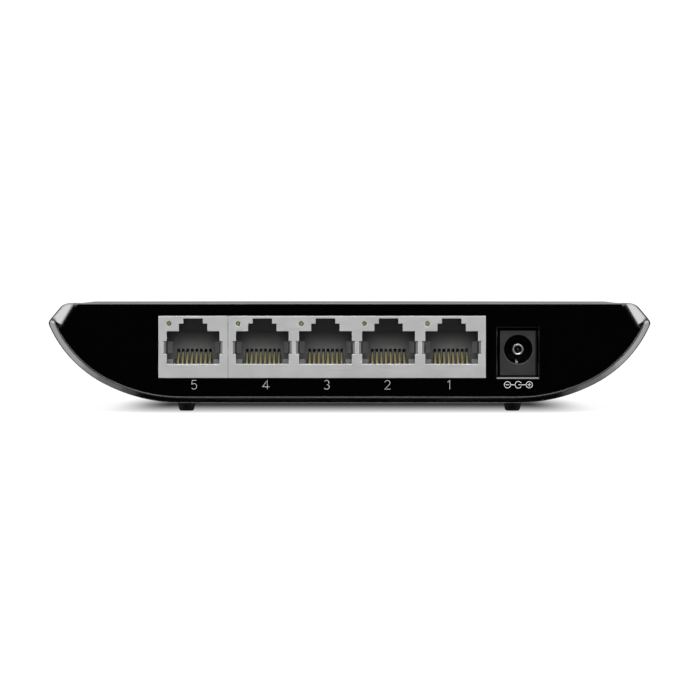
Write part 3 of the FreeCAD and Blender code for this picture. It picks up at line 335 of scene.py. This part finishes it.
def new_piece(name, bm, body, material, smooth=True):
    """A mesh object that rides on a body."""
    bmesh.ops.recalc_face_normals(bm, faces=bm.faces)
    for face in bm.faces:
        face.smooth = smooth
    mesh = bpy.data.meshes.new(name)
    bm.to_mesh(mesh)
    bm.free()
    mesh.materials.append(material)
    piece = bpy.data.objects.new(name, mesh)
    bpy.context.scene.collection.objects.link(piece)
    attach(piece, body)
    return piece


def arc(centre, radii, start, end, steps=14):
    """Points of an elliptical arc between two angles in degrees, as (x, z) pairs."""
    angles = [math.radians(start + (end - start) * i / steps) for i in range(steps + 1)]
    return [(centre[0] + radii[0] * math.cos(a), centre[1] + radii[1] * math.sin(a)) for a in angles]


def turned_corners(points, radius, steps=6):
    """A path with its corners rounded: each is a quadratic curve that starts a radius from the corner."""
    path = [points[0]]
    for before, corner, after in zip(points, points[1:], points[2:]):
        start = corner + (before - corner).normalized() * radius
        end = corner + (after - corner).normalized() * radius
        for i in range(steps + 1):
            t = i / steps
            path.append(start * (1 - t) ** 2 + corner * 2 * t * (1 - t) + end * t ** 2)
    return path + [points[-1]]


def add_tube(bm, path, radius, sides=12):
    """A round wire with flat-capped ends along a path in a plane of constant X."""
    rings = []
    last = len(path) - 1
    for i, point in enumerate(path):
        along = (path[min(i + 1, last)] - path[max(i - 1, 0)]).normalized()
        across = Vector((1, 0, 0))
        up = along.cross(across)
        turns = [2 * math.pi * k / sides for k in range(sides)]
        rings.append([bm.verts.new(point + (across * math.cos(a) + up * math.sin(a)) * radius)
                      for a in turns])
    for ring, following in zip(rings, rings[1:]):
        for k in range(sides):
            bm.faces.new((ring[k], ring[(k + 1) % sides], following[(k + 1) % sides], following[k]))
    bm.faces.new(rings[0])
    bm.faces.new(rings[-1])


# Contact springs: each port's eight wires, bent smoothly where the plain solids have sharp corners.

def contact_springs(port):
    node = f"port_{port}_contact_springs"
    low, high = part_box(node)
    radius = 0.23 * MM
    bend = 0.5 * MM
    root_length = 0.55 * MM
    tip_length = 0.95 * MM
    tip_drop = 0.3 * MM
    pitch = (high.x - low.x - 2 * radius) / (WIRES - 1)
    root = Vector((0, low.y + root_length, low.z + radius))
    knee = Vector((0, high.y - tip_length, high.z - 1.1 * radius))
    tip = Vector((0, high.y - radius / 2, knee.z - tip_drop))
    start = Vector((0, low.y, root.z))
    path = turned_corners([start, root, knee, tip], bend)
    bm = bmesh.new()
    for i in range(WIRES):
        shift = Vector((low.x + radius + i * pitch, 0, 0))
        add_tube(bm, [point + shift for point in path], radius)
    piece = new_piece(f"port_{port}_contact_wires", bm, f"port_{port}_springs", MATERIALS["contact_gold"])
    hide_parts(node)


for port in PORTS:
    contact_springs(port)


# Centre pin of the power jack, turned smooth: the pin with its cupped tip, its stem and its lug.

def add_lathed(bm, profile, at, steps=64):
    """A surface turned about the Y axis: the profile is (radius, distance towards -Y) points."""
    rings = []
    for radius, reach in profile:
        turns = [2 * math.pi * k / steps for k in range(steps)]
        rings.append([bm.verts.new((at.x + radius * math.cos(a), at.y - reach, at.z + radius * math.sin(a)))
                      for a in turns])
    for ring, following in zip(rings, rings[1:]):
        for k in range(steps):
            bm.faces.new((ring[k], ring[(k + 1) % steps], following[(k + 1) % steps], following[k]))
    bm.faces.new(rings[0])
    bm.faces.new(rings[-1])


def power_pin():
    low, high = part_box("power_jack_pin")
    radius = 1.25 * MM
    wall = 0.36 * MM
    inner = radius - wall
    stem = 0.8 * MM
    stud = 0.3 * MM
    length = 8.15 * MM
    cup = 1.15 * MM
    lug = Vector((2.4, 0.4, 0)) * MM
    axis = Vector(((low.x + high.x) / 2, low.y + length, high.z - radius))
    lug_top = axis.z + 1.2 * MM
    bm = bmesh.new()
    add_lathed(bm, [
        (stem, axis.y - high.y + lug.y), (stem, 0), (radius - 0.05 * MM, 0), (radius, 0.05 * MM),
        (radius, length - 0.15 * MM), (radius - 0.04 * MM, length - 0.04 * MM), (radius - 0.1 * MM, length),
        (inner + 0.04 * MM, length), (inner, length - 0.06 * MM), (inner, length - cup),
        (stud, length - cup), (stud, length - cup + 0.6 * MM), (0.15 * MM, length - cup + 0.75 * MM),
    ], axis)
    turned_faces = len(bm.faces)
    centre = Vector((axis.x, high.y - lug.y / 2, (low.z + lug_top) / 2))
    size = Vector((lug.x, lug.y, lug_top - low.z))
    bmesh.ops.create_cube(bm, size=1, matrix=Matrix.LocRotScale(centre, None, size))
    piece = new_piece("power_jack_pin_turned", bm, CASE, MATERIALS["power_pin_metal"])
    for polygon in piece.data.polygons[turned_faces:]:
        polygon.use_smooth = False
    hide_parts("power_jack_pin")


power_pin()


# White print on the rear wall: a number under each port, and a polarity mark under the power jack.

INK = 0.02 * MM
NUMBER_STROKE = 0.04 * MM
MARK_STROKE = 0.06 * MM
PRINT_BASE = 5.15 * MM
PRINT_HEIGHT = 1.95 * MM
PRINT_SHIFT = {"5": 0.2 * MM, "4": 0.8 * MM, "3": 0.3 * MM, "2": -0.25 * MM, "1": -0.6 * MM}


def add_stroke(bm, points, at, scale, stroke):
    """A flat ribbon of ink along (x, z) points, standing on the wall at a point, with square ends."""
    line = [Vector((x, z)) * scale for x, z in points]
    last = len(line) - 1
    sides = ([], [])
    for i, point in enumerate(line):
        before = (point - line[i - 1]).normalized() if i else None
        after = (line[i + 1] - point).normalized() if i < last else None
        along = ((before or after) + (after or before)).normalized()
        across = Vector((-along.y, along.x))
        reach = stroke / max(abs(across.dot(Vector((-(before or after).y, (before or after).x)))), 0.5)
        if i in (0, last):
            point = point + along * (stroke if i else -stroke) * 0.5
        for side, sign in zip(sides, (1, -1)):
            spot = point + across * reach * sign
            side.append([bm.verts.new((at.x + spot.x, at.y - lift, at.z + spot.y)) for lift in (0, INK)])
    left, right = sides
    for i in range(last):
        bm.faces.new((left[i][1], left[i + 1][1], right[i + 1][1], right[i][1]))
        bm.faces.new((left[i][0], right[i][0], right[i + 1][0], left[i + 1][0]))
        bm.faces.new((left[i][0], left[i + 1][0], left[i + 1][1], left[i][1]))
        bm.faces.new((right[i][0], right[i][1], right[i + 1][1], right[i + 1][0]))
    for i in (0, last):
        bm.faces.new((left[i][0], left[i][1], right[i][1], right[i][0]))


DIGITS = {
    "1": [[(-0.14, 0.80), (0.10, 1.0), (0.10, 0.0)]],
    "2": [arc((0, 0.72), (0.30, 0.28), 170, -38) + [(-0.32, 0.0), (0.34, 0.0)]],
    "3": [arc((-0.02, 0.75), (0.27, 0.25), 150, -90), arc((-0.02, 0.26), (0.31, 0.26), 88, -150)],
    "4": [[(0.16, 0.0), (0.16, 1.0), (-0.38, 0.28), (0.40, 0.28)]],
    "5": [[(0.27, 1.0), (-0.20, 1.0), (-0.26, 0.55)] + arc((-0.01, 0.32), (0.31, 0.32), 132, -150)],
}
MINUS = [[(-1.42, 0.5), (-1.06, 0.5)], arc((-1.24, 0.5), (0.36, 0.36), 0, 360, 28)]
PLUS = [[(1.06, 0.5), (1.42, 0.5)], [(1.24, 0.32), (1.24, 0.68)], arc((1.24, 0.5), (0.36, 0.36), 0, 360, 28)]
SOCKET = [arc((0, 0.5), (0.38, 0.38), 35, 325, 24), [(-0.88, 0.5), (-0.38, 0.5)], [(0.0, 0.5), (0.88, 0.5)]]


def printed(name, strokes, x, stroke):
    """A mark printed on the rear wall, centred at a place along X."""
    bm = bmesh.new()
    at = Vector((x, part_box("top_cover")[0].y, PRINT_BASE))
    for points in strokes:
        add_stroke(bm, points, at, PRINT_HEIGHT, stroke)
    piece = new_piece(name, bm, CASE, PRINT_INK, smooth=False)


for port in PORTS:
    number_x = middle(f"port_{port}_contact_springs").x + PRINT_SHIFT[port]
    printed(f"port_number_{port}", DIGITS[port], number_x, NUMBER_STROKE)
printed("power_polarity_mark", MINUS + SOCKET + PLUS, middle("power_jack_pin").x, MARK_STROKE)


# Floor, light and camera.

def plane(name, size, place, facing, material):
    """A rectangle of a width and height about a place, facing along a direction; part of the studio."""
    bpy.ops.mesh.primitive_plane_add(size=1, location=place)
    card = bpy.context.object
    card.name = name
    card.scale = (*size, 1)
    card.rotation_euler = Vector(facing).to_track_quat("Z", "Y").to_euler()
    card.data.materials.append(material)
    return card


def build_floor():
    """A glowing white table whose glow is dimmed into a painted soft shadow under the case; reflections do
    not see it.
    """
    made = new_material("floor_white", (0.1, 0.1, 0.1), 0.9, Specular_IOR_Level=0.0)
    shader_of(made).inputs["Emission Color"].default_value = (1, 1, 1, 1)
    place = add_node(made, "ShaderNodeNewGeometry")
    parts = add_node(made, "ShaderNodeSeparateXYZ")
    link(made, place, "Position", parts, "Vector")
    # painted shadow: the glow fades into a soft dark patch under the case, centred 20 mm behind its middle.
    shade = add_node(made, "ShaderNodeMath", operation="MULTIPLY")
    reaches = (("X", 0, 42 * MM, 57 * MM), ("Y", 20 * MM, 0, 89 * MM))
    for i, (axis, middle_at, dark, clear) in enumerate(reaches):
        offset = add_node(made, "ShaderNodeMath", operation="SUBTRACT")
        offset.inputs[1].default_value = middle_at
        distance = add_node(made, "ShaderNodeMath", operation="ABSOLUTE")
        fade = add_node(made, "ShaderNodeMapRange", interpolation_type="SMOOTHSTEP")
        for key, value in (("From Min", dark), ("From Max", clear), ("To Min", 1), ("To Max", 0)):
            fade.inputs[key].default_value = value
        link(made, parts, axis, offset, 0)
        link(made, offset, "Value", distance, 0)
        link(made, distance, "Value", fade, "Value")
        link(made, fade, "Result", shade, i)
    glow = add_node(made, "ShaderNodeMapRange")
    for key, value in (("To Min", 0.95), ("To Max", 0.03)):
        glow.inputs[key].default_value = value
    link(made, shade, "Value", glow, "Value")
    link(made, glow, "Result", shader_of(made), "Emission Strength")
    floor = plane("floor", (12, 12), (0, 0, 0), (0, 0, 1), made)
    floor.visible_glossy = False


def build_world():
    world = bpy.data.worlds.new("studio")
    bpy.context.scene.world = world
    world.use_nodes = True
    background = world.node_tree.nodes["Background"]
    background.inputs["Color"].default_value = (1, 1, 1, 1)
    background.inputs["Strength"].default_value = 1.08


def build_card(name, size, place, facing, glow):
    """A card that only reflections see: black at a glow of 0, otherwise a soft box."""
    made = new_material(f"{name}_surface", (0, 0, 0), 1.0, Specular_IOR_Level=0.0)
    shader_of(made).inputs["Emission Color"].default_value = (1, 1, 1, 1)
    shader_of(made).inputs["Emission Strength"].default_value = glow
    card = plane(name, size, place, facing, made)
    card.visible_camera = False
    card.visible_diffuse = False
    card.visible_shadow = False


def area_light(name, place, target, size, power, in_reflections=True):
    data = bpy.data.lights.new(name, "AREA")
    data.shape = "RECTANGLE"
    data.size, data.size_y = size
    data.energy = power
    lamp = bpy.data.objects.new(name, data)
    bpy.context.scene.collection.objects.link(lamp)
    lamp.location = place
    lamp.rotation_euler = (Vector(target) - Vector(place)).to_track_quat("-Z", "Y").to_euler()
    lamp.visible_glossy = in_reflections


def build_camera():
    """Low and level with the jacks, far enough away to flatten the perspective."""
    data = bpy.data.cameras.new("camera")
    data.lens = 209.2
    data.sensor_width = 36
    data.clip_end = 50
    camera = bpy.data.objects.new("camera", data)
    bpy.context.scene.collection.objects.link(camera)
    camera.location = (0.11 * MM, cad_bounds[0][1] - 0.9, 28 * MM)
    camera.rotation_euler = (math.radians(90 - 0.902), 0, 0)
    bpy.context.scene.camera = camera


build_floor()
build_world()
build_card("behind_camera", (2.4, 1.6), (0, -1.6, 0.0), (0, 1, 0), 0)
build_card("far_grey", (0.4, 0.9), (0, 1.6, 0.05), (0, -1, 0), 0.3)
build_card("below_black", (0.3, 0.16), (0, -0.045, -0.3), (0, 0, 1), 0)
build_card("below_strip", (0.5, 0.25), (0, 0.16, -0.3), (0, 0, 1), 2.7)
build_card("top_box", (1.5, 0.9), (0, -0.25, 1.1), (0, 0, -1), 6)
for side, name in ((-1, "left"), (1, "right")):
    build_card(f"{name}_high_box", (0.7, 1.2), (side, 0.03, 0.9), (-side, 0, 0), 12)
    build_card(f"{name}_side_box", (0.4, 1.3), (side, -0.14, -0.35), (-side, 0, 0), 6.5)
    build_card(f"{name}_low_box", (0.4, 0.35), (side, -0.14, -1.175), (-side, 0, 0), 4.2)
    build_card(f"{name}_lowest_box", (0.4, 0.8), (side, -0.14, -1.75), (-side, 0, 0), 2.6)
    build_card(f"{name}_far_black", (0.3, 0.9), (side * 0.35, 1.6, 0.05), (0, -1, 0), 0)
    build_card(f"{name}_rear_black", (1.3, 3.0), (side * 0.85, 1.05, -1.0), (-side * 0.85, -1.05, 0), 0)
area_light("key", (0, -0.8, 0.75), (0, 0, 0.01), (0.8, 0.5), 10)
area_light("fill", (0, -1.1, 0.52), (0, 0, 0.01), (1.2, 0.25), 11, in_reflections=False)
build_camera()
bpy.context.scene.view_settings.view_transform = "Standard"
